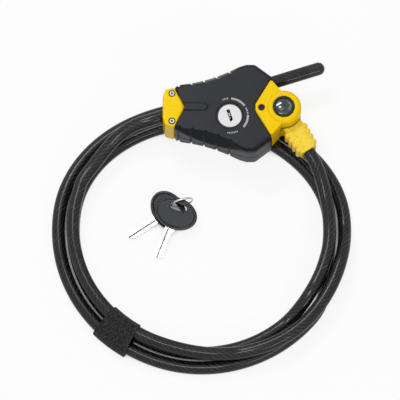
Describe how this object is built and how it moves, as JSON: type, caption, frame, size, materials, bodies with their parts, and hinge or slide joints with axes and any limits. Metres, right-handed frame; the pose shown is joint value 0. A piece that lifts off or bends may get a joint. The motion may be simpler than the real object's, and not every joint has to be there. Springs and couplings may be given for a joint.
{
  "type": "adjustable cable lock",
  "caption": "Adjustable keyed cable lock with a coiled vinyl-covered steel cable, swivelling strain relief and keys on a ring.",
  "frame": {"origin": "centre of the flat back face under the key cylinder's axis", "axes": "+Z out of the key face, +X along the lock body from the cable's entry cap to the swivel boss, +Y across the body"},
  "size_m": [0.2178, 0.2298, 0.0424],
  "materials": {
    "yellow_core": "glossy moulded yellow",
    "grey_grip": "satin dark grey",
    "yellow_boot": "soft moulded yellow",
    "bright_plug": "satin chrome",
    "black_trim": "glossy black",
    "dark_dome": "glossy dark",
    "zinc": "cast and plated",
    "pin_brass": "turned",
    "spring_steel": "drawn wire",
    "dark_screw": "blackened",
    "cable_vinyl": "glossy clear-over-black vinyl over steel strands",
    "tip_plastic": "satin black",
    "strap_web": "hook-and-loop webbing",
    "key_head_black": "satin black",
    "key_nickel": "nickel plated"
  },
  "bodies": {
    "lock_body": {"core_front": "yellow_core", "core_rear": "yellow_core", "jacket_front": "grey_grip", "jacket_rear": "grey_grip", "cap_rivets": "zinc", "body_screw": "dark_screw", "cylinder_body": "zinc", "bezel_ring": "black_trim", "driver_pins": "pin_brass", "pin_springs": "spring_steel", "cable_saddle": "zinc", "wedge_spring": "spring_steel", "swivel_pin": "zinc", "badge_ring": "black_trim", "badge_dome": "dark_dome", "cable_lead": "cable_vinyl", "cable_coil": "cable_vinyl", "cable_run_in": "cable_vinyl", "strap": "strap_web"},
    "plug": {"plug": "bright_plug", "key_pins": "pin_brass", "plug_clip": "spring_steel", "release_cam": "zinc", "cam_screw": "zinc"},
    "wedge": {"wedge": "zinc"},
    "boot": {"cable_eye": "zinc", "boot": "yellow_boot"},
    "cable_end": {"cable_tail": "cable_vinyl", "tail_tip": "tip_plastic"},
    "key_ring": {"key_ring": "spring_steel"},
    "key_a": {"key_a_head": "key_head_black", "key_a_blade": "key_nickel"},
    "key_b": {"key_b_head": "key_head_black", "key_b_blade": "key_nickel"}
  },
  "joints": [
    {"name": "plug_turn", "type": "hinge", "parent": "lock_body", "child": "plug", "pos_m": [0, 0, 0.0155], "axis": [0, 0, 1], "range_deg": [-90, 0]},
    {"name": "wedge_slide", "type": "slide", "parent": "lock_body", "child": "wedge", "axis": [0.9907, 0.1357, 0], "range_m": [0, 0.003], "deforming": ["wedge_spring"]},
    {"name": "boot_swivel", "type": "hinge", "parent": "lock_body", "child": "boot", "pos_m": [0.0391, 0.0068, 0.016], "axis": [0, 0, 1], "range_deg": [-6, 18], "deforming": ["cable_lead"]},
    {"name": "cable_feed", "type": "slide", "parent": "lock_body", "child": "cable_end", "axis": [0.9521, 0.3057, 0], "range_m": [0, 0.025]},
    {"name": "keys_lift", "type": "slide", "parent": "lock_body", "child": "key_ring", "axis": [0, 0, 1], "range_m": [0, 0.03]},
    {"name": "key_a_swing", "type": "hinge", "parent": "key_ring", "child": "key_a", "pos_m": [-0.041, -0.0577, 0.0004], "axis": [0, 0, 1], "range_deg": [-6, 10]},
    {"name": "key_b_swing", "type": "hinge", "parent": "key_ring", "child": "key_b", "pos_m": [-0.041, -0.0577, -0.0056], "axis": [0, 0, 1], "range_deg": [-10, 6]}
  ],
  "couplings": [
    {"joint": "plug_turn", "follows": "wedge_slide", "rad_per_m": -523.6}
  ]
}
